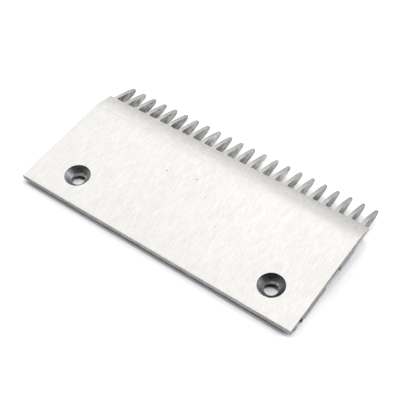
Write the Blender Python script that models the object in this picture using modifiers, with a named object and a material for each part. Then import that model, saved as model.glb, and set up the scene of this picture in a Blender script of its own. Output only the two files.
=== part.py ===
"""Escalator comb plate: one die-cast aluminium piece with 22 teeth, a sloping
nose, two countersunk screw holes, a screw seat and a thin lip at the back.

Axes: X runs along the row of teeth, Y from the back edge to the tooth tips,
Z up from the undersides of the teeth to the flat top face.
The origin is the centre of the piece's box on its lowest level.
Lengths in the constants are millimetres; MM turns them into metres.
"""

import math

import bmesh
import bpy

MM = 0.001

# ---- driving dimensions ----------------------------------------------------
TEETH = 22
WIDTH = 199.5                   # along the comb
PITCH = WIDTH / TEETH           # 9.068, the pitch of an escalator step's cleats
DEPTH = 107.0                   # back edge to tooth tips
HEIGHT = 15.8                   # undersides of the teeth to the top face

NOSE_START = 73.0               # where the flat top ends, from the back edge
NOSE_END = 87.0                 # front edge of the nose, between the teeth
NOSE_ANGLE_0 = 13.0             # slope where the nose begins
NOSE_ANGLE_1 = 19.7             # slope at its front edge
TIP_ANGLE = 23.7                # slope of a tooth's crest near its tip
TIP_CREST = 106.1               # where that slope is reached

LIP = 3.5                       # thickness of the lip along the back edge
BEAD_BACK, BEAD_FOOT, BEAD_FRONT = 4.0, 6.6, 8.8   # low bead under the lip
BEAD_DEPTH = 6.0
GROOVE_ROOF = 1.8               # metal left above the groove behind the seat
SEAT_BACK, SEAT_FRONT = 11.8, 37.5
SEAT = 7.1                      # thickness of the screw seat
WEB = 3.4                       # thickness of the thin span
BEAM_BACK, BEAM_FRONT = 53.5, 68.5
BEAM = 8.0                      # thickness of the cross beam behind the nose
NOSE_ROOF = 5.6                 # level of the nose's underside below the top face
NOSE_ROOF_BACK = 70.5

NOSE_CORNER = 1.2               # rounding, seen from above, of the nose's two front corners

TOOTH_SHIFT = -0.44             # the row of teeth stands this far left of centre
TOOTH_HALF = 1.35               # half width of a tooth near its crest
CREST_R = 0.35                  # rounding along each side of the crest
FOOT_HALF = 1.07                # half width along the underside
FOOT_CHAMFER = 0.2
ROOT_R = 1.4                    # fillet between a tooth's side and the nose's front
RIB_BACK = 66.0                 # the teeth run on as ribs to inside the beam
RIB_FLAT = 84.0                 # from here forward the undersides are level
TAPER_START = 101.0             # the sides start to close towards the tip
TAPER_END = 106.4               # and from here they round off
CREST_TAPER = 0.68              # share of the crest's width left at the end of the taper
FOOT_TAPER = 0.97               # and of the underside's
CREST_ROUND = 105.1             # where the crest starts to round down to the tip
FOOT_ROUND = 102.9              # where the underside starts to round up to the tip
TIP_LEVEL = 12.92               # level of the foremost point below the top face
TIP_FLAT = 0.6                  # height of the small flat left at the tip
TIP_CLOSING = 0.4               # share of the taper's width left at the tip

HOLE_SPACING = 145.0
HOLE_SHIFT = PITCH / 4          # the pair of holes sits a quarter pitch off centre
HOLE_Y = 19.1                   # from the back edge
BORE_R = 4.5
SINK_R = 8.25                   # radius of the 90 degree countersink at the top face


def arc_drop(y, y0, y1, a0, a1):
    """Drop at y along a circular arc whose slope goes from a0 to a1 (degrees)."""
    s0, s1 = math.sin(math.radians(a0)), math.sin(math.radians(a1))
    r = (y1 - y0) / (s1 - s0)
    s = s0 + (y - y0) / r
    return r * (math.cos(math.radians(a0)) - math.sqrt(1.0 - s * s))


def nose_drop(y):
    """How far the nose surface lies below the flat top face."""
    return arc_drop(y, NOSE_START, NOSE_END, NOSE_ANGLE_0, NOSE_ANGLE_1)


def crest_drop(y):
    """How far a tooth's crest lies below the flat top face."""
    return nose_drop(NOSE_END) + arc_drop(y, NOSE_END, TIP_CREST, NOSE_ANGLE_1, TIP_ANGLE)


def place(x, y, drop):
    """From (along comb, distance from the back edge, depth below the top) to metres."""
    return (x * MM, (y - DEPTH / 2) * MM, (HEIGHT - drop) * MM)


def new_object(name, mesh, collection):
    ob = bpy.data.objects.new(name, mesh)
    collection.objects.link(ob)
    return ob


# ---- scene -----------------------------------------------------------------
for ob in list(bpy.data.objects):
    bpy.data.objects.remove(ob, do_unlink=True)

scene = bpy.context.scene
parts = bpy.data.collections.new("escalator_comb_plate")
cutters = bpy.data.collections.new("cutters")
scene.collection.children.link(parts)
scene.collection.children.link(cutters)


def as_cutter(ob):
    ob.hide_render = True
    ob.display_type = "WIRE"


# ---- plate body: one side outline, extruded along the comb -----------------
outline = [(0.0, 0.0), (NOSE_START, 0.0)]
steps = 7
for i in range(1, steps + 1):
    y = NOSE_START + (NOSE_END - NOSE_START) * i / steps
    outline.append((y, nose_drop(y)))
outline += [
    (NOSE_END, NOSE_ROOF),
    (NOSE_ROOF_BACK, NOSE_ROOF),
    (BEAM_FRONT, BEAM),
    (BEAM_BACK, BEAM),
    (BEAM_BACK, WEB),
    (SEAT_FRONT, WEB),
    (SEAT_FRONT, SEAT),
    (SEAT_BACK, SEAT),
    (SEAT_BACK, GROOVE_ROOF),
    (BEAD_FRONT, GROOVE_ROOF),
    (BEAD_FOOT, BEAD_DEPTH),
    (BEAD_BACK, BEAD_DEPTH),
    (BEAD_BACK, LIP),
    (0.0, LIP),
]
curve = bpy.data.curves.new("plate_outline", "CURVE")
curve.dimensions = "2D"
curve.fill_mode = "BOTH"
curve.extrude = WIDTH / 2 * MM
spline = curve.splines.new("POLY")
spline.points.add(len(outline) - 1)
spline.use_cyclic_u = True
for point, (y, drop) in zip(spline.points, outline):
    _, py, pz = place(0.0, y, drop)
    point.co = (py, pz, 0.0, 1.0)
outline_ob = new_object("plate_outline", curve, cutters)
# the curve's own X, Y, Z become the piece's Y, Z, X
outline_ob.rotation_euler = (math.pi / 2, 0.0, math.pi / 2)
bpy.context.view_layer.update()

graph = bpy.context.evaluated_depsgraph_get()
body_mesh = bpy.data.meshes.new_from_object(outline_ob.evaluated_get(graph))
body_mesh.name = "comb_plate"
body_mesh.transform(outline_ob.matrix_world)
bm = bmesh.new()
bm.from_mesh(body_mesh)
bmesh.ops.remove_doubles(bm, verts=bm.verts, dist=0.00001)
bmesh.ops.dissolve_limit(bm, angle_limit=math.radians(0.5), verts=bm.verts, edges=bm.edges)
front = (NOSE_END - DEPTH / 2) * MM
corners = [
    edge for edge in bm.edges
    if all(abs(v.co.y - front) < 1e-6 for v in edge.verts)
    and abs(edge.verts[0].co.x - edge.verts[1].co.x) < 1e-6
]
bmesh.ops.bevel(bm, geom=corners, offset=NOSE_CORNER * MM, segments=4, profile=0.5,
                affect="EDGES", clamp_overlap=True)
bmesh.ops.recalc_face_normals(bm, faces=bm.faces)
bm.to_mesh(body_mesh)
bm.free()
bpy.data.objects.remove(outline_ob, do_unlink=True)
body_mesh.materials.clear()
plate = new_object("comb_plate", body_mesh, parts)


# ---- one tooth, lofted along Y between sections that all differ ------------
def bend(y, start):
    """Share of a quarter ellipse's fall, from 0 at start to 1 at the tip."""
    if y <= start:
        return 0.0
    v = (y - start) / (DEPTH - start)
    return 1.0 - math.sqrt(max(0.0, 1.0 - v * v))


def closing(y, taper):
    """Share of the tooth's width left at y: a straight taper, then a blunt round end."""
    part = min(1.0, max(0.0, (y - TAPER_START) / (TAPER_END - TAPER_START)))
    end = min(1.0, max(0.0, (y - TAPER_END) / (DEPTH + 0.05 - TAPER_END)))
    return (1.0 - (1.0 - taper) * part) * max(TIP_CLOSING, (1.0 - end ** 4) ** 0.25)


def tooth_section(y):
    """Outline of the tooth across X at y: pairs (x, drop), anticlockwise from the front."""
    half = TOOTH_HALF * closing(y, CREST_TAPER)
    if y < RIB_FLAT:
        t = (y - RIB_BACK) / (RIB_FLAT - RIB_BACK)
        foot = (BEAM - 0.1) + (HEIGHT - BEAM + 0.1) * t
        crest = NOSE_ROOF - 0.6
    elif y < NOSE_END:
        foot = HEIGHT
        crest = NOSE_ROOF - 0.6 if y < 86.0 else nose_drop(y) + 0.35
    else:
        foot = HEIGHT
        # at the root the crest lies a hair under the nose's front edge
        crest = crest_drop(min(y, DEPTH)) + 0.08 * max(0.0, 1.0 - (y - NOSE_END) / ROOT_R)
    crest += (TIP_LEVEL - TIP_FLAT / 2 - crest) * bend(y, CREST_ROUND)
    foot += (TIP_LEVEL + TIP_FLAT / 2 - foot) * bend(y, FOOT_ROUND)
    foot_half = FOOT_HALF * closing(y, FOOT_TAPER)
    # a short section high on a rib is nearly as wide below as above
    full = HEIGHT - crest_drop(NOSE_END)
    foot_half += (TOOTH_HALF - FOOT_HALF) * max(0.0, (HEIGHT - foot) / full) * (y < NOSE_END)
    foot_half = min(foot_half, half * 1.1)
    # the root fillet widens the tooth where it leaves the nose, as deep as the nose
    flare, grow = 0.0, 1.0
    if 86.0 <= y < NOSE_END + ROOT_R:
        u = max(0.0, y - NOSE_END) / ROOT_R
        flare = ROOT_R * (1.0 - math.sqrt(1.0 - (1.0 - u) ** 2))
        grow = max(0.28, u)
    r = min(CREST_R * grow, (foot - crest) * 0.45, half * 0.9)
    cut = min(FOOT_CHAMFER, foot_half * 0.5, (foot - crest) * 0.3)
    ledge = min(max(NOSE_ROOF - 0.05, crest + r + 0.1), foot - cut - 0.1)
    t = (foot - cut - ledge) / ((foot - cut) - (crest + r))
    side = foot_half + (half - foot_half) * t
    right = [(foot_half - cut, foot), (foot_half, foot - cut), (side, ledge), (side + flare, ledge)]
    for k in range(4):
        a = math.radians(30.0 * k)
        right.append((half + flare - r + r * math.cos(a), crest + r - r * math.sin(a)))
    return right + [(-x, d) for x, d in reversed(right)]


# no section lies in the nose's front face itself
stations = [RIB_BACK, RIB_FLAT, 85.9, 86.1] + [NOSE_END + ROOT_R * t for t in (0.04, 0.3, 0.65, 1.0)]
stations += [94.0, 101.0, 102.9, 104.2, 105.1, 105.8, 106.4, 106.8, DEPTH]
bm = bmesh.new()
rings = []
for y in stations:
    rings.append([bm.verts.new(place(x, y, d)) for x, d in tooth_section(y)])
count = len(rings[0])
for near, far in zip(rings, rings[1:]):
    for i in range(count):
        j = (i + 1) % count
        bm.faces.new((near[i], near[j], far[j], far[i]))
bm.faces.new(rings[0][::-1])
bm.faces.new(rings[-1])
bmesh.ops.remove_doubles(bm, verts=bm.verts, dist=0.000002)
bmesh.ops.recalc_face_normals(bm, faces=bm.faces)

# the row: 22 equal teeth
first = -WIDTH / 2 + PITCH / 2 + TOOTH_SHIFT
bmesh.ops.translate(bm, verts=bm.verts, vec=(first * MM, 0.0, 0.0))
teeth_mesh = bpy.data.meshes.new("teeth")
bm.to_mesh(teeth_mesh)
bm.free()
teeth = new_object("teeth", teeth_mesh, cutters)
row = teeth.modifiers.new("row", "ARRAY")
row.count = TEETH
row.use_relative_offset = False
row.use_constant_offset = True
row.constant_offset_displace = (PITCH * MM, 0.0, 0.0)
row.use_merge_vertices = False
as_cutter(teeth)

cast = plate.modifiers.new("cast_with_teeth", "BOOLEAN")
cast.operation = "UNION"
cast.solver = "EXACT"
cast.object = teeth

# ---- screw holes: a turned cutter for each, bore and countersink in one -----
over = 0.4                      # the cutter stands past both faces
profile = [
    (0.0, -over),
    (SINK_R + over, -over),
    (BORE_R, SINK_R - BORE_R),
    (BORE_R, HEIGHT),
    (0.0, HEIGHT),
]
for side, label in ((-1, "left"), (1, "right")):
    mesh = bpy.data.meshes.new("screw_hole_" + label)
    bm = bmesh.new()
    verts = [bm.verts.new((r * MM, 0.0, -d * MM)) for r, d in profile]
    for a, b in zip(verts, verts[1:]):
        bm.edges.new((a, b))
    bm.to_mesh(mesh)
    bm.free()
    hole = new_object("screw_hole_" + label, mesh, cutters)
    hole.location = place(HOLE_SHIFT + side * HOLE_SPACING / 2, HOLE_Y, 0.0)
    turn = hole.modifiers.new("turn", "SCREW")
    turn.steps = turn.render_steps = 40
    turn.use_merge_vertices = True
    turn.merge_threshold = 0.00001
    turn.use_normal_calculate = False
    as_cutter(hole)
    cut = plate.modifiers.new("cut_" + label, "BOOLEAN")
    cut.operation = "DIFFERENCE"
    cut.solver = "EXACT"
    cut.object = hole

# ---- material --------------------------------------------------------------
metal = bpy.data.materials.new("cast_aluminium")
metal.use_nodes = True
shader = metal.node_tree.nodes["Principled BSDF"]
shader.inputs["Base Color"].default_value = (0.80, 0.79, 0.77, 1.0)
shader.inputs["Metallic"].default_value = 1.0
shader.inputs["Roughness"].default_value = 0.45
metal.diffuse_color = (0.80, 0.79, 0.77, 1.0)
plate.data.materials.append(metal)
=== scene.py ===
"""Escalator comb plate: finish, floor, light and camera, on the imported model."""
import math

import bmesh
import bpy
from mathutils import Matrix, Vector


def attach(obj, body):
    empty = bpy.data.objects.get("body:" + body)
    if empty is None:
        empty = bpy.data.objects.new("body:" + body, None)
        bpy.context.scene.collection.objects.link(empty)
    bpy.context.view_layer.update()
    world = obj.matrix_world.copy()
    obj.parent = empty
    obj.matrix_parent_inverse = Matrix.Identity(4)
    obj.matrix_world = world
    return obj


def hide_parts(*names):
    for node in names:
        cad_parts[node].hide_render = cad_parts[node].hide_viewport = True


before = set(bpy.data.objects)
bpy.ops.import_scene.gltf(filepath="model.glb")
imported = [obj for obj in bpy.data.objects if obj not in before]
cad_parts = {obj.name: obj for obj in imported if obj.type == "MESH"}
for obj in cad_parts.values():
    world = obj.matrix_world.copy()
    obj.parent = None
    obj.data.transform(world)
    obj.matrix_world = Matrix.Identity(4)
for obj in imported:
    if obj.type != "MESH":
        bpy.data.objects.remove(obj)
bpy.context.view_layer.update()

MM = 0.001

# ---- the construction's own dimensions, in millimetres -----------------------
TEETH = 22
WIDTH = 199.5
PITCH = WIDTH / TEETH
DEPTH = 107.0
HEIGHT = 15.8
NOSE_START, NOSE_END = 73.0, 87.0
NOSE_ANGLE_0, NOSE_ANGLE_1 = 13.0, 19.7
TIP_ANGLE, TIP_CREST = 23.7, 106.1
LIP = 3.5
BEAD_BACK, BEAD_FOOT, BEAD_FRONT, BEAD_DEPTH = 4.0, 6.6, 8.8, 6.0
GROOVE_ROOF = 1.8
SEAT_BACK, SEAT_FRONT, SEAT = 11.8, 37.5, 7.1
WEB = 3.4
BEAM_BACK, BEAM_FRONT, BEAM = 53.5, 68.5, 8.0
NOSE_ROOF, NOSE_ROOF_BACK = 5.6, 70.5
NOSE_CORNER = 1.2               # rounding, seen from above, of the nose's two front corners
TOOTH_SHIFT = -0.44             # the row of teeth stands this far left of centre
TOOTH_HALF, FOOT_HALF = 1.35, 1.07
CREST_R = 0.35
FOOT_R = 0.25
RIB_BACK, RIB_FLAT = 66.0, 84.0
TAPER_START, TAPER_END = 101.0, 106.4
CREST_TAPER, FOOT_TAPER = 0.68, 0.97
CREST_ROUND, FOOT_ROUND = 105.1, 102.9
TIP_LEVEL, TIP_FLAT, TIP_CLOSING = 12.92, 0.6, 0.4
ROOT_R = 1.4                    # fillet between a tooth's side and the nose's front
EDGE_R = 0.3                    # rounding of the cast edges
HOLE_SPACING, HOLE_SHIFT, HOLE_Y = 145.0, PITCH / 4, 19.1
BORE_R, SINK_R = 4.5, 8.25


def arc_drop(y, y0, y1, a0, a1):
    s0, s1 = math.sin(math.radians(a0)), math.sin(math.radians(a1))
    r = (y1 - y0) / (s1 - s0)
    s = s0 + (y - y0) / r
    return r * (math.cos(math.radians(a0)) - math.sqrt(1.0 - s * s))


def nose_drop(y):
    return arc_drop(y, NOSE_START, NOSE_END, NOSE_ANGLE_0, NOSE_ANGLE_1)


def crest_drop(y):
    return nose_drop(NOSE_END) + arc_drop(y, NOSE_END, TIP_CREST, NOSE_ANGLE_1, TIP_ANGLE)


def place(x, y, drop):
    """(along the comb, from the back edge, below the top) in mm to the frame's metres."""
    return Vector((x * MM, (y - DEPTH / 2) * MM, (HEIGHT - drop) * MM))


def new_object(name, mesh):
    ob = bpy.data.objects.new(name, mesh)
    bpy.context.scene.collection.objects.link(ob)
    return ob


# ---- plate body: the side outline with rounded corners ------------------------
def filleted(corners, segments=4):
    """Closed outline with each corner (y, drop, radius) replaced by an arc."""
    out = []
    n = len(corners)
    for i, (y, d, r) in enumerate(corners):
        here = Vector((y, d))
        back = Vector(corners[i - 1][:2]) - here
        ahead = Vector(corners[(i + 1) % n][:2]) - here
        if r <= 0.0:
            out.append((y, d))
            continue
        half = back.angle(ahead) / 2
        t = min(r / math.tan(half), 0.49 * back.length, 0.49 * ahead.length)
        r = t * math.tan(half)
        a, b = back.normalized(), ahead.normalized()
        centre = here + (a + b).normalized() * (r / math.sin(half))
        start, end = here + a * t - centre, here + b * t - centre
        turn = math.atan2(start.x * end.y - start.y * end.x, start.dot(end))
        for k in range(segments + 1):
            c, s = math.cos(turn * k / segments), math.sin(turn * k / segments)
            out.append((centre.x + start.x * c - start.y * s, centre.y + start.x * s + start.y * c))
    return out


def shrunk(outline, inset):
    """The closed outline moved inwards by inset."""
    if inset <= 0.0:
        return list(outline)
    area = sum(a[0] * b[1] - b[0] * a[1] for a, b in zip(outline, outline[1:] + outline[:1]))
    side = 1.0 if area > 0 else -1.0
    out = []
    n = len(outline)
    for i in range(n):
        p, q, s = (Vector(outline[j % n]) for j in (i - 1, i, i + 1))
        u, v = (q - p).normalized(), (s - q).normalized()
        m = Vector((-(u.y + v.y), u.x + v.x)) * side
        m.normalize()
        c = max(0.35, m.dot(Vector((-u.y, u.x)) * side))
        out.append(tuple(q + m * (inset / c)))
    return out


corners = [(0.0, 0.0, EDGE_R), (NOSE_START, 0.0, 3.0)]
nose_steps = 7
for i in range(1, nose_steps):
    y = NOSE_START + (NOSE_END - NOSE_START) * i / nose_steps
    corners.append((y, nose_drop(y), 0.0))
corners += [
    (NOSE_END, nose_drop(NOSE_END), EDGE_R),
    (NOSE_END, NOSE_ROOF, EDGE_R),
    (NOSE_ROOF_BACK, NOSE_ROOF, 0.6),
    (BEAM_FRONT, BEAM, 0.5),
    (BEAM_BACK, BEAM, 0.5),
    (BEAM_BACK, WEB, 1.0),
    (SEAT_FRONT, WEB, 1.0),
    (SEAT_FRONT, SEAT, 0.4),
    (SEAT_BACK, SEAT, 0.4),
    (SEAT_BACK, GROOVE_ROOF, 0.6),
    (BEAD_FRONT, GROOVE_ROOF, 0.5),
    (BEAD_FOOT, BEAD_DEPTH, 0.4),
    (BEAD_BACK, BEAD_DEPTH, 0.4),
    (BEAD_BACK, LIP, 0.4),
    (0.0, LIP, EDGE_R),
]
outline = filleted(corners)
bm = bmesh.new()
rings = []
end_steps = 9
ends = []
for k in range(end_steps + 1):
    a = math.pi / 2 * k / end_steps
    inwards = NOSE_CORNER * (1 - math.cos(a))
    near_end = max(0.0, 1.0 - inwards / EDGE_R)
    ends.append((WIDTH / 2 - inwards, EDGE_R * 0.9 * (1 - math.sqrt(1 - near_end ** 2)),
                 NOSE_END - NOSE_CORNER * (1 - math.sin(a))))


def cornered(y, d, front):
    """The outline's point drawn back where the nose's corner rounds off."""
    start = NOSE_END - 2.6
    if y <= start:
        return y, d
    back = start + (y - start) * (front - start) / (NOSE_END - start)
    if d < NOSE_ROOF - 0.5:
        d += nose_drop(back) - nose_drop(y)
    return back, d


for x, inset, front in [(-x, i, f) for x, i, f in ends] + [(x, i, f) for x, i, f in reversed(ends)]:
    points = [cornered(y, d, front) for y, d in shrunk(outline, inset)]
    rings.append([bm.verts.new(place(x, y, d)) for y, d in points])
count = len(outline)
for near, far in zip(rings, rings[1:]):
    for i in range(count):
        j = (i + 1) % count
        bm.faces.new((near[i], near[j], far[j], far[i]))
bm.faces.new(rings[0][::-1])
bm.faces.new(rings[-1])
bmesh.ops.recalc_face_normals(bm, faces=bm.faces)
plate_mesh = bpy.data.meshes.new("plate_form")
bm.to_mesh(plate_mesh)
bm.free()
plate = new_object("plate_form", plate_mesh)


# ---- teeth -----------------------------------------------------------------------
def bend(y, start):
    if y <= start:
        return 0.0
    v = (y - start) / (DEPTH - start)
    return 1.0 - math.sqrt(max(0.0, 1.0 - v * v))


def plan(y, taper):
    """How much of its full width the tooth still has: a taper, then a round end."""
    part = min(1.0, max(0.0, (y - TAPER_START) / (TAPER_END - TAPER_START)))
    end = min(1.0, max(0.0, (y - TAPER_END) / (DEPTH + 0.05 - TAPER_END)))
    return (1.0 - (1.0 - taper) * part) * max(TIP_CLOSING, (1.0 - end ** 4) ** 0.25)


def tooth_section(y):
    half = TOOTH_HALF * plan(y, CREST_TAPER)
    if y < RIB_FLAT:
        t = (y - RIB_BACK) / (RIB_FLAT - RIB_BACK)
        foot = (BEAM - 0.1) + (HEIGHT - BEAM + 0.1) * t
    else:
        foot = HEIGHT
    if y < 86.0:
        crest = NOSE_ROOF - 0.6
    elif y < NOSE_END:
        crest = nose_drop(y) + 0.3
    else:
        crest = crest_drop(min(y, DEPTH)) + 0.04 * max(0.0, 1.0 - (y - NOSE_END) / ROOT_R)
    crest += (TIP_LEVEL - TIP_FLAT / 2 - crest) * bend(y, CREST_ROUND)
    foot += (TIP_LEVEL + TIP_FLAT / 2 - foot) * bend(y, FOOT_ROUND)
    foot_half = FOOT_HALF * plan(y, FOOT_TAPER)
    full = HEIGHT - crest_drop(NOSE_END)
    foot_half += (TOOTH_HALF - FOOT_HALF) * max(0.0, (HEIGHT - foot) / full) * (y < NOSE_END)
    foot_half = min(foot_half, half * 1.1)
    # the fillet at the root, only as deep as the nose is thick
    flare = 0.0
    if 86.0 <= y < NOSE_END + ROOT_R:
        u = max(0.0, y - NOSE_END) / ROOT_R
        flare = ROOT_R * (1.0 - math.sqrt(max(0.0, 1.0 - (1.0 - u) ** 2)))
    r = min(CREST_R, (foot - crest) * 0.45, half * 0.9)
    cut = min(FOOT_R, foot_half * 0.8, (foot - crest) * 0.3)

    def flank(d):
        t = (foot - cut - d) / ((foot - cut) - (crest + r))
        return foot_half + (half - foot_half) * t

    right = []
    for k in range(4):
        a = math.radians(30.0 * k)
        right.append((foot_half - cut + cut * math.sin(a), foot - cut + cut * math.cos(a)))
    ledge = max(NOSE_ROOF - 0.02, crest + r + 0.1)
    ledge = min(ledge, foot - cut - 0.1)
    right.append((flank(ledge), ledge))
    right.append((flank(ledge) + flare, ledge))
    steps = 5
    for k in range(steps + 1):
        a = math.pi / 2 * k / steps
        right.append((half + flare - r + r * math.cos(a), crest + r - r * math.sin(a)))
    return right + [(-x, d) for x, d in reversed(right)]


stations = [RIB_BACK, 75.0, RIB_FLAT, 85.9, 86.1]
stations += [NOSE_END + ROOT_R * t for t in (0.02, 0.12, 0.27, 0.45, 0.65, 0.85, 1.0)]
stations += [89.6, 91.0, 93.0, 95.0, 97.0, 99.0, 101.0, 102.0, 102.9, 103.5, 104.1, 104.6]
stations += [105.1, 105.5, 105.85, 106.15, 106.4, 106.6, 106.75, 106.87, 106.95, DEPTH]
bm = bmesh.new()
rings = [[bm.verts.new(place(x, y, d)) for x, d in tooth_section(y)] for y in stations]
count = len(rings[0])
for near, far in zip(rings, rings[1:]):
    for i in range(count):
        j = (i + 1) % count
        bm.faces.new((near[i], near[j], far[j], far[i]))
bm.faces.new(rings[0][::-1])
bm.faces.new(rings[-1])
bmesh.ops.remove_doubles(bm, verts=bm.verts, dist=0.000002)
bmesh.ops.recalc_face_normals(bm, faces=bm.faces)
bmesh.ops.translate(bm, verts=bm.verts, vec=((-WIDTH / 2 + PITCH / 2 + TOOTH_SHIFT) * MM, 0.0, 0.0))
teeth_mesh = bpy.data.meshes.new("teeth_form")
bm.to_mesh(teeth_mesh)
bm.free()
teeth = new_object("teeth_form", teeth_mesh)
row = teeth.modifiers.new("row", "ARRAY")
row.count = TEETH
row.use_relative_offset = False
row.use_constant_offset = True
row.constant_offset_displace = (PITCH * MM, 0.0, 0.0)

# ---- countersunk screw holes ---------------------------------------------------------
hole_x = [HOLE_SHIFT - HOLE_SPACING / 2, HOLE_SHIFT + HOLE_SPACING / 2]
profile = [
    (0.0, -0.3),
    (SINK_R + 0.12 + 0.3 / math.tan(math.radians(22.5)), -0.3),
    (SINK_R - 0.09, 0.09),
    (BORE_R + 0.12, SINK_R - BORE_R - 0.12),
    (BORE_R + 0.03, SINK_R - BORE_R + 0.02),
    (BORE_R, SINK_R - BORE_R + 0.15),
    (BORE_R, SEAT - 0.06),
    (BORE_R + 0.1, SEAT + 0.04),
    (BORE_R + 0.1, SEAT + 1.0),
    (0.0, SEAT + 1.0),
]
cutters = []
for x in hole_x:
    mesh = bpy.data.meshes.new("screw_hole_form")
    bm = bmesh.new()
    verts = [bm.verts.new((r * MM, 0.0, -d * MM)) for r, d in profile]
    for a, b in zip(verts, verts[1:]):
        bm.edges.new((a, b))
    bmesh.ops.spin(bm, geom=bm.verts[:] + bm.edges[:], cent=(0, 0, 0), axis=(0, 0, 1),
                   angle=math.tau, steps=96, use_merge=True)
    bmesh.ops.remove_doubles(bm, verts=bm.verts, dist=0.000005)
    bmesh.ops.recalc_face_normals(bm, faces=bm.faces)
    bm.to_mesh(mesh)
    bm.free()
    hole = new_object("screw_hole_form", mesh)
    hole.location = place(x, HOLE_Y, 0.0)
    cutters.append(hole)

for tool, operation in [(teeth, "UNION")] + [(hole, "DIFFERENCE") for hole in cutters]:
    step = plate.modifiers.new("step", "BOOLEAN")
    step.operation = operation
    step.solver = "EXACT"
    step.object = tool
bpy.context.view_layer.update()
graph = bpy.context.evaluated_depsgraph_get()
cast_mesh = bpy.data.meshes.new_from_object(plate.evaluated_get(graph))
cast_mesh.name = "comb_plate_cast"
for ob in [plate, teeth] + cutters:
    bpy.data.objects.remove(ob, do_unlink=True)
cast = new_object("comb_plate_cast", cast_mesh)


# ---- materials ---------------------------------------------------------------------------
class Graph:
    """Short names for building a node tree."""

    def __init__(self, name):
        self.material = bpy.data.materials.new(name)
        self.material.use_nodes = True
        self.tree = self.material.node_tree
        self.shader = self.tree.nodes["Principled BSDF"]

    def node(self, kind, **settings):
        made = self.tree.nodes.new(kind)
        for key, value in settings.items():
            setattr(made, key, value)
        return made

    def link(self, a, b):
        self.tree.links.new(a, b)

    def put(self, socket, value):
        if isinstance(value, bpy.types.NodeSocket):
            self.link(value, socket)
        else:
            socket.default_value = value

    def math(self, operation, a, b=0.0, clamp=False):
        made = self.node("ShaderNodeMath", operation=operation, use_clamp=clamp)
        self.put(made.inputs[0], a)
        self.put(made.inputs[1], b)
        return made.outputs[0]

    def position(self, scale=(1.0, 1.0, 1.0)):
        where = self.node("ShaderNodeTexCoord").outputs["Object"]
        mapping = self.node("ShaderNodeMapping")
        self.link(where, mapping.inputs["Vector"])
        mapping.inputs["Scale"].default_value = scale
        return mapping.outputs[0]

    def noise(self, scale, size, detail=2.0, roughness=0.5):
        made = self.node("ShaderNodeTexNoise")
        self.link(self.position(scale), made.inputs["Vector"])
        made.inputs["Scale"].default_value = size
        made.inputs["Detail"].default_value = detail
        made.inputs["Roughness"].default_value = roughness
        return made.outputs[0]

    def ramp(self, value, low, high, to_low=0.0, to_high=1.0):
        made = self.node("ShaderNodeMapRange", clamp=True)
        self.put(made.inputs["Value"], value)
        for socket, number in zip(("From Min", "From Max", "To Min", "To Max"), (low, high, to_low, to_high)):
            self.put(made.inputs[socket], number)
        return made.outputs[0]

    def tint(self, factor, a, b):
        made = self.node("ShaderNodeMix", data_type="RGBA", clamp_factor=True)
        self.put(made.inputs[0], factor)
        self.put(made.inputs[6], a)
        self.put(made.inputs[7], b)
        return made.outputs[2]

    def along(self, axis):
        """The frame's own X, Y or Z, in metres."""
        parts = self.node("ShaderNodeSeparateXYZ")
        self.link(self.node("ShaderNodeTexCoord").outputs["Object"], parts.inputs[0])
        return parts.outputs[axis]

    def curve(self, value, stops):
        """Value read on a line through the (value, result) stops, by a chain of ramps."""
        total = None
        for (v0, r0), (v1, r1) in zip(stops, stops[1:]):
            step = self.ramp(value, v0, v1, 0.0 if total else r0, r1 - r0 if total else r1)
            total = self.math("ADD", total, step) if total else step
        return total

    def scaled(self, factor, colour):
        """The colour times a factor."""
        made = self.node("ShaderNodeVectorMath", operation="SCALE")
        made.inputs[0].default_value = colour[:3]
        self.put(made.inputs["Scale"], factor)
        return made.outputs[0]

    def spot(self, x, y, reach):
        """1 at the point (x, y) of the top face, given in metres, falling to 0 at reach."""
        made = self.node("ShaderNodeVectorMath", operation="DISTANCE")
        self.link(self.node("ShaderNodeTexCoord").outputs["Object"], made.inputs[0])
        made.inputs[1].default_value = (x, y, HEIGHT * MM)
        return self.ramp(made.outputs["Value"], reach * 0.3, reach, 1.0, 0.0)

    def bump(self, height, strength, distance, normal=None):
        made = self.node("ShaderNodeBump")
        made.inputs["Strength"].default_value = strength
        made.inputs["Distance"].default_value = distance
        self.link(height, made.inputs["Height"])
        if normal is not None:
            self.link(normal, made.inputs["Normal"])
        return made.outputs[0]


def warm(v, amount=1.0):
    """A pale grey leaning to straw, as aluminium does."""
    return (v * (1.0 + 0.018 * amount), v, v * (1.0 - 0.036 * amount), 1.0)


TONE = 0.953                    # how pale the metal is as a whole, set against the light


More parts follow.
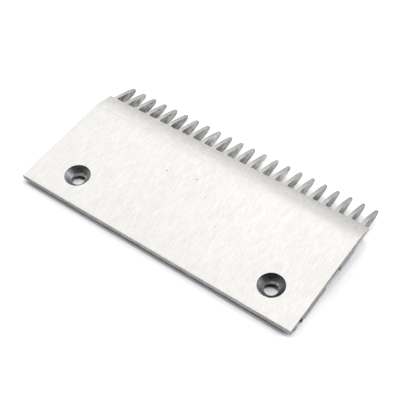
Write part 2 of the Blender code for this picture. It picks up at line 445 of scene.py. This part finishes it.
def top_finish_and_painted_light():
    """Brushed flat in short strokes along Y, going over to a blasted nose and tooth crests, with painted light and
    shade over the whole top.
    """
    g = Graph("brushed_and_blasted_top_painted_light")
    stroke = g.noise((1500.0, 170.0, 300.0), 1.0, 3.0, 0.6)
    thin = g.noise((3000.0, 260.0, 300.0), 1.0, 2.0, 0.5)
    pit = g.noise((1.0, 1.0, 1.0), 900.0, 2.0, 0.6)
    broad = g.noise((200.0, 70.0, 60.0), 1.0, 2.0, 0.5)
    line = g.math("ADD", g.math("MULTIPLY", stroke, 0.5), g.math("MULTIPLY", thin, 0.2))
    line = g.math("ADD", line, g.math("ADD", g.math("MULTIPLY", pit, 0.15), g.math("MULTIPLY", broad, 0.15)))
    x, y = g.along("X"), g.along("Y")
    # painted light and shade: the flat is lighter towards the front and the middle of its length and at its back right
    # corner, and darker just before the nose
    flat_level = g.math("MULTIPLY", g.ramp(y, -0.0535, 0.0145, 0.466, 0.531),
                        g.curve(x, ((-0.1, 1.015), (-0.065, 1.06), (0.0, 1.085), (0.045, 1.11), (0.075, 1.085), (0.1, 1.06))))
    flat_level = g.math("MULTIPLY", flat_level, g.ramp(y, 0.0150, 0.0195, 1.0, 0.955))
    back_right = g.math("MULTIPLY", g.ramp(x, 0.060, 0.100, 0.0, 0.06), g.ramp(y, -0.035, -0.020, 1.0, 0.0))
    flat_level = g.math("MULTIPLY", flat_level, g.math("ADD", back_right, 1.0))
    flat_grain = g.ramp(line, 0.34, 0.66, 0.85, 1.14)
    # small pits in the flat
    for sx, sy, reach, depth in ((-0.0253, -0.0005, 0.0007, 0.75), (-0.0055, 0.0042, 0.0007, 0.75),
                                 (0.0247, -0.0190, 0.0006, 0.4), (0.0072, -0.0045, 0.0008, 0.3)):
        pit_here = g.math("SUBTRACT", 1.0, g.math("MULTIPLY", g.spot(sx, sy, reach), depth))
        flat_grain = g.math("MULTIPLY", flat_grain, pit_here)

    grain = g.noise((1.0, 1.0, 1.0), 1500.0, 3.0, 0.6)
    cloud = g.noise((1.0, 1.0, 1.0), 300.0, 2.0, 0.5)
    speck = g.noise((1.0, 1.0, 1.0), 700.0, 2.0, 0.6)
    rough = g.math("ADD", g.math("MULTIPLY", grain, 0.3), g.math("MULTIPLY", cloud, 0.3))
    rough = g.math("ADD", rough, g.math("MULTIPLY", speck, 0.4))
    # painted light and shade: the nose darkens towards the teeth and towards the right end, and is painted lighter
    # along its start on the right
    nose_level = g.curve(y, ((0.0195, 0.666), (0.0215, 0.614), (0.0235, 0.610), (0.0265, 0.575), (0.0335, 0.477)))
    nose_level = g.math("MULTIPLY", nose_level, g.curve(x, ((-0.1, 1.07), (0.02, 1.0), (0.06, 0.94), (0.09, 0.87))))
    near = g.math("MULTIPLY", g.ramp(y, 0.0195, 0.0245, 1.0, 0.0), g.ramp(x, -0.1, 0.1, 0.0, 0.09))
    nose_level = g.math("MULTIPLY", nose_level, g.math("ADD", near, 1.0))
    nose_grain = g.ramp(rough, 0.34, 0.66, 0.84, 1.15)
    # painted shade: the tooth crests darken towards the tips and towards the right end, most at the right-hand tips
    crest_level = g.curve(y, ((0.0335, 0.536), (0.0385, 0.466), (0.0425, 0.409), (0.0535, 0.376)))
    crest_level = g.math("MULTIPLY", crest_level, g.curve(x, ((0.0, 1.04), (0.035, 1.0), (0.095, 0.86))))
    far_right = g.math("MULTIPLY", g.ramp(x, 0.050, 0.080, 0.0, 0.09), g.ramp(y, 0.0405, 0.0435))
    crest_level = g.math("MULTIPLY", crest_level, g.math("SUBTRACT", 1.0, far_right))
    crest_grain = g.ramp(rough, 0.34, 0.66, 0.80, 1.20)
    on_crest = g.ramp(y, 0.0328, 0.0345)

    def blend(share, a, b):
        return g.math("ADD", a, g.math("MULTIPLY", share, g.math("SUBTRACT", b, a)))

    # the strokes fade out over the start of the nose, further forward at the right end
    edge = g.math("SUBTRACT", y, g.math("MULTIPLY", x, 0.014))
    edge = g.math("ADD", edge, g.math("MULTIPLY", g.math("SUBTRACT", cloud, 0.5), 0.006))
    nose_share = g.ramp(edge, 0.0185, 0.0235)
    level = blend(g.ramp(y, 0.0192, 0.0200), flat_level, blend(on_crest, nose_level, crest_level))
    pattern = blend(nose_share, flat_grain, blend(on_crest, nose_grain, crest_grain))
    g.link(g.scaled(g.math("MULTIPLY", level, pattern), warm(TONE, 0.9)), g.shader.inputs["Base Color"])
    g.shader.inputs["Metallic"].default_value = 1.0
    flat_rough = g.ramp(line, 0.3, 0.7, 0.50, 0.58)
    nose_rough = g.ramp(cloud, 0.3, 0.7, 0.62, 0.72)
    extra = g.math("MULTIPLY", g.math("SUBTRACT", nose_rough, flat_rough), nose_share)
    g.link(g.math("ADD", flat_rough, extra), g.shader.inputs["Roughness"])
    ridge = g.bump(thin, 0.8, 0.00005)
    ridge = g.bump(stroke, 0.5, 0.00006, ridge)
    g.link(g.bump(grain, 0.4, 0.00006, ridge), g.shader.inputs["Normal"])
    return g.material


def cast_finish_and_painted_shade():
    """Sides, ends and underside as they left the mould: blotchy, with painted shade in the roots of the teeth and
    painted light and shade that differ face by face.
    """
    g = Graph("cast_sides_painted_shade")
    grain = g.noise((1.0, 1.0, 1.0), 1300.0, 3.0, 0.65)
    cloud = g.noise((1.0, 1.0, 1.0), 450.0, 3.0, 0.6)
    mottle = g.math("ADD", g.math("MULTIPLY", grain, 0.5), g.math("MULTIPLY", cloud, 0.5))
    mottle = g.ramp(mottle, 0.34, 0.66, 0.68, 1.32)
    x, y, z = g.along("X"), g.along("Y"), g.along("Z")
    # painted light and shade along Y: the back face lightest, the sides and underside darker, the roots of the teeth
    # darkest, lighter down the teeth and darker again at the tips
    level = g.curve(y, ((-0.0535, 0.523), (-0.0525, 0.354), (0.0325, 0.354), (0.0335, 0.328), (0.0385, 0.396),
                        (0.0415, 0.473), (0.0465, 0.469), (0.0535, 0.393)))
    # painted shade: the row of teeth is a little darker towards both ends, and most at the right end
    end = g.curve(x, ((-0.1, 0.92), (-0.04, 1.0), (0.02, 1.11), (0.055, 1.07), (0.072, 0.90), (0.092, 0.86), (0.095, 0.80)))
    shade = g.math("MAXIMUM", g.math("MINIMUM", end, g.ramp(y, 0.0325, 0.0335, 0.0, 2.0)),
                   g.ramp(y, 0.0325, 0.0335, 1.0, 0.0))
    # painted light: the last tooth is lighter at its root; painted shade: the right-hand tips are darker at the very
    # end
    last = g.math("MULTIPLY", g.ramp(x, 0.0915, 0.0925), g.curve(y, ((0.0335, 0.0), (0.0340, 0.38), (0.0395, 0.25), (0.0455, 0.0))))
    tips = g.math("MULTIPLY", g.ramp(x, 0.020, 0.050), g.ramp(y, 0.0495, 0.0515, 0.0, 0.15))
    shade = g.math("MULTIPLY", shade, g.math("SUBTRACT", g.math("ADD", last, 1.0), tips))
    # teeth: blotches drawn out along the tooth, and each tooth a little lighter or darker
    streak = g.ramp(g.noise((1.0, 0.4, 1.0), 480.0, 2.0, 0.55), 0.34, 0.66, 0.58, 1.42)
    each = g.ramp(g.noise((1.0, 0.0, 0.0), 110.0, 0.0, 0.5), 0.32, 0.68, 0.82, 1.18)
    teeth_only = g.curve(y, ((0.0325, 0.0), (0.0335, 1.0), (0.0460, 1.0), (0.0500, 0.72)))
    uneven = g.math("SUBTRACT", g.math("MULTIPLY", streak, each), 1.0)
    shade = g.math("MULTIPLY", shade, g.math("ADD", g.math("MULTIPLY", uneven, teeth_only), 1.0))
    # a painted highlight along the upper edges of the back and the ends; the back edge carries painted light and shade
    # too: lighter low down and darker towards its ends, most at the left
    back = g.ramp(y, -0.0534, -0.0531, 1.0, 0.0)
    rows = g.curve(z, ((0.0123, 1.35), (0.0129, 1.25), (0.0135, 1.05), (0.0141, 0.82), (0.0147, 0.78), (0.0152, 1.05)))
    rows = g.math("MULTIPLY", rows, g.curve(x, ((-0.1, 0.82), (-0.075, 0.88), (-0.05, 0.96), (-0.01, 1.0), (0.03, 1.06), (0.075, 1.02), (0.1, 0.93))))
    hatch = g.noise((1.0, 0.2, 0.2), 1500.0, 2.0, 0.6)
    rows = g.math("MULTIPLY", rows, g.ramp(hatch, 0.34, 0.66, 0.86, 1.14))
    rim = g.ramp(z, 0.0143, 0.0153, 0.92, 1.22)
    rim = g.math("ADD", rim, g.math("MULTIPLY", back, g.math("SUBTRACT", rows, rim)))
    shade = g.math("MULTIPLY", shade, rim)
    # painted shade: the thin middle of the end is darker, the groove behind the seat nearly black
    middle = g.math("MULTIPLY", g.ramp(y, -0.0165, -0.0155), g.ramp(y, -0.0005, 0.0005, 1.0, 0.0))
    shade = g.math("MULTIPLY", shade, g.math("SUBTRACT", 1.0, g.math("MULTIPLY", middle, 0.25)))
    groove = g.math("MULTIPLY", g.ramp(y, -0.0449, -0.0447), g.ramp(y, -0.0416, -0.0414, 1.0, 0.0))
    groove = g.math("MULTIPLY", groove, g.ramp(z, 0.0139, 0.0142, 1.0, 0.0))
    shade = g.math("MULTIPLY", shade, g.math("SUBTRACT", 1.0, g.math("MULTIPLY", groove, 0.92)))
    level = g.math("MULTIPLY", g.math("MULTIPLY", level, shade), mottle)
    g.link(g.scaled(level, warm(TONE, 0.8)), g.shader.inputs["Base Color"])
    g.shader.inputs["Metallic"].default_value = 1.0
    g.link(g.ramp(cloud, 0.3, 0.7, 0.6, 0.72), g.shader.inputs["Roughness"])
    g.link(g.bump(grain, 0.6, 0.00008), g.shader.inputs["Normal"])
    return g.material


def countersink_finish_and_painted_light():
    """Turned countersink and bore: greyer than the cast faces, with painted shade low in the bore, a painted highlight
    at the bore's top edge, and painted light and shade around each hole.
    """
    g = Graph("machined_countersink_painted_light")
    cloud = g.noise((1.0, 1.0, 1.0), 420.0, 3.0, 0.6)
    fine = g.noise((1.0, 1.0, 1.0), 1500.0, 3.0, 0.6)
    mottle = g.ramp(g.math("ADD", g.math("MULTIPLY", cloud, 0.55), g.math("MULTIPLY", fine, 0.45)), 0.34, 0.66, 0.55, 1.50)
    x, y, z = g.along("X"), g.along("Y"), g.along("Z")
    # painted light by depth: nearly black shade low in the bore, a highlight at the bore's top edge
    low = [(SEAT, 0.005), (6.5, 0.008), (6.05, 0.22), (5.1, 0.42), (4.2, 0.38), (4.05, 0.42), (3.85, 0.56), (3.5, 0.42),
           (3.2, 0.195), (0.0, 0.19)]
    level = g.curve(z, [((HEIGHT - drop) * MM, value) for drop, value in low])
    # painted light and shade forward of each hole's middle: the turned wall lighter in the left hole, dark at its rim
    # in both
    ahead = (HOLE_Y - DEPTH / 2) * MM
    left = g.curve(y, ((ahead, 1.05), (ahead + 0.003, 1.25), (ahead + 0.007, 1.75)))
    right = g.curve(y, ((ahead - 0.007, 0.95), (ahead - 0.003, 0.70), (ahead, 0.64), (ahead + 0.004, 1.05), (ahead + 0.007, 1.25)))
    side = g.ramp(x, -0.001, 0.001)
    level = g.math("MULTIPLY", level, g.math("ADD", left, g.math("MULTIPLY", side, g.math("SUBTRACT", right, left))))
    # and painted light and shade across: each hole's own middle is 0
    middle = g.math("ADD", g.math("MULTIPLY", side, HOLE_SPACING * MM), hole_x[0] * MM)
    across = g.math("SUBTRACT", x, middle)
    left = g.curve(across, ((-0.007, 0.74), (-0.003, 0.90), (0.002, 1.05), (0.007, 1.25)))
    right = g.curve(across, ((-0.007, 0.74), (-0.003, 0.84), (0.001, 1.05), (0.003, 0.78), (0.007, 0.56)))
    level = g.math("MULTIPLY", level, g.math("ADD", left, g.math("MULTIPLY", side, g.math("SUBTRACT", right, left))))
    # painted light: low on the cone the far wall is paler again
    deep = g.math("MULTIPLY", g.ramp(z, 0.0127, 0.0141, 1.0, 0.0), g.ramp(y, ahead, ahead + 0.003))
    deep = g.math("MULTIPLY", deep, g.math("MULTIPLY", g.ramp(z, 0.0119, 0.0122), g.math("ADD", g.math("MULTIPLY", side, 0.8), 0.35)))
    level = g.math("MULTIPLY", level, g.math("ADD", deep, 1.0))
    # painted light: the right hole's bore is lighter low down
    bore = g.math("MULTIPLY", side, g.ramp(z, 0.0116, 0.0121, 0.25, 0.0))
    level = g.math("MULTIPLY", level, g.math("ADD", bore, 1.0))
    # painted shade on the rim forward of each hole's middle
    edge = g.math("MULTIPLY", g.ramp(z, 0.0151, 0.0154), g.ramp(y, ahead - 0.003, ahead + 0.002))
    level = g.math("MULTIPLY", level, g.math("SUBTRACT", 1.0, g.math("MULTIPLY", edge, 0.55)))
    g.link(g.scaled(g.math("MULTIPLY", level, mottle), warm(TONE, -0.9)), g.shader.inputs["Base Color"])
    g.shader.inputs["Metallic"].default_value = 1.0
    g.link(g.ramp(cloud, 0.3, 0.7, 0.40, 0.52), g.shader.inputs["Roughness"])
    g.link(g.bump(fine, 0.3, 0.00008), g.shader.inputs["Normal"])
    return g.material


cast_mesh.materials.clear()
for material in (top_finish_and_painted_light(), cast_finish_and_painted_shade(), countersink_finish_and_painted_light()):
    cast_mesh.materials.append(material)
TOP, CAST, SUNK = range(3)

top = HEIGHT * MM
for face in cast_mesh.polygons:
    c, n = face.center, face.normal
    y = c.y / MM + DEPTH / 2
    drop = (top - c.z) / MM
    in_hole = any(math.hypot(c.x / MM - x, y - HOLE_Y) < SINK_R + 0.3 for x in hole_x)
    if in_hole and drop > 0.01 and drop < SEAT + 0.3 and abs(n.z) < 0.95:
        face.material_index = SUNK
    elif n.z > 0.6 and (drop < 0.3 or y > NOSE_START - 0.5):
        face.material_index = TOP
    else:
        face.material_index = CAST

cast_mesh.shade_smooth()
cast_mesh.set_sharp_from_angle(angle=math.radians(40.0))
even = cast.modifiers.new("even_normals", "WEIGHTED_NORMAL")
even.weight = 100
even.keep_sharp = True
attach(cast, "root")
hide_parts("comb_plate")

# ---- floor: the plate rests on the back of its seat and on its teeth -------------------
floor_tilt = math.atan((HEIGHT - SEAT) / (RIB_FLAT - SEAT_BACK))
floor_point = place(0.0, SEAT_BACK, SEAT)
floor_mesh = bpy.data.meshes.new("floor")
size = 1.5
floor_mesh.from_pydata([(-size, -size, 0), (size, -size, 0), (size, size, 0), (-size, size, 0)], [], [(0, 1, 2, 3)])
floor = new_object("floor", floor_mesh)
floor.rotation_euler = (-floor_tilt, 0.0, 0.0)
floor.location = floor_point
g = Graph("pale_floor")
g.shader.inputs["Base Color"].default_value = (0.952, 0.952, 0.975, 1.0)
g.shader.inputs["Roughness"].default_value = 0.9
g.shader.inputs["Specular IOR Level"].default_value = 0.0
clear = g.node("ShaderNodeBsdfTransparent")
side = g.node("ShaderNodeNewGeometry")
either = g.node("ShaderNodeMixShader")
g.link(side.outputs["Backfacing"], either.inputs[0])
g.link(g.shader.outputs[0], either.inputs[1])
g.link(clear.outputs[0], either.inputs[2])
g.link(either.outputs[0], g.tree.nodes["Material Output"].inputs["Surface"])
floor_mesh.materials.append(g.material)

# ---- light -----------------------------------------------------------------------------
world = bpy.data.worlds.new("room")
bpy.context.scene.world = world
world.use_nodes = True
sky = world.node_tree.nodes["Background"]
sky.inputs["Color"].default_value = (1.0, 1.0, 1.0, 1.0)
sky.inputs["Strength"].default_value = 1.0
# a white backdrop to look at, while the softboxes alone give the light
world.cycles_visibility.camera = True
world.cycles_visibility.diffuse = False
world.cycles_visibility.glossy = False
world.cycles_visibility.transmission = False
world.cycles_visibility.scatter = False


def softbox(name, location, target, size_x, size_y, power):
    light = bpy.data.lights.new(name, "AREA")
    light.shape = "RECTANGLE"
    light.size, light.size_y = size_x, size_y
    light.energy = power
    ob = bpy.data.objects.new(name, light)
    bpy.context.scene.collection.objects.link(ob)
    ob.location = location
    ob.rotation_mode = "QUATERNION"
    ob.rotation_quaternion = (Vector(target) - Vector(location)).to_track_quat("-Z", "Y")
    ob.visible_camera = False
    return ob


def studio(name, elevation, azimuth, size, power):
    """A square softbox 2.4 m from the plate; azimuth 0 is beyond the teeth, 90 is to the right."""
    e, a = math.radians(elevation), math.radians(azimuth)
    towards = Vector((math.cos(e) * math.sin(a), math.cos(e) * math.cos(a), math.sin(e)))
    return softbox(name, towards * 2.4, (0.0, 0.0, 0.0), size, size, power)


studio("right_back_low_box", 25, 45, 1.6, 49.4)
studio("left_box", 45, 270, 1.6, 35.7)
studio("back_low_box", 25, 0, 1.6, 18.4)
studio("left_low_box", 25, 270, 1.6, 10.1)
studio("left_back_box", 42, 315, 1.6, 10.1)
studio("top_right_spot", 74, 30, 0.3, 11.5)
studio("top_left_spot", 74, 330, 0.3, 10.3)
studio("back_spot", 50, 30, 0.3, 3.4)

# ---- camera ------------------------------------------------------------------------------
right = Vector((0.80810978, 0.58635781, -0.05606332))
up = Vector((-0.43867992, 0.66262257, 0.60703481))
away = Vector((-0.39308842, 0.46595691, -0.79269518))
turn = Matrix((right, up, -away)).transposed().to_4x4()
data = bpy.data.cameras.new("camera")
data.sensor_width = 36.0
data.lens = 903.62 / 400.0 * 36.0
data.clip_start, data.clip_end = 0.01, 20.0
camera = bpy.data.objects.new("camera", data)
bpy.context.scene.collection.objects.link(camera)
camera.matrix_world = Matrix.Translation(place(321.503 - 99.77, -210.460, -435.966)) @ turn
bpy.context.scene.camera = camera
bpy.context.scene.view_settings.view_transform = "Standard"
bpy.context.scene.view_settings.look = "None"

bpy.context.view_layer.update()
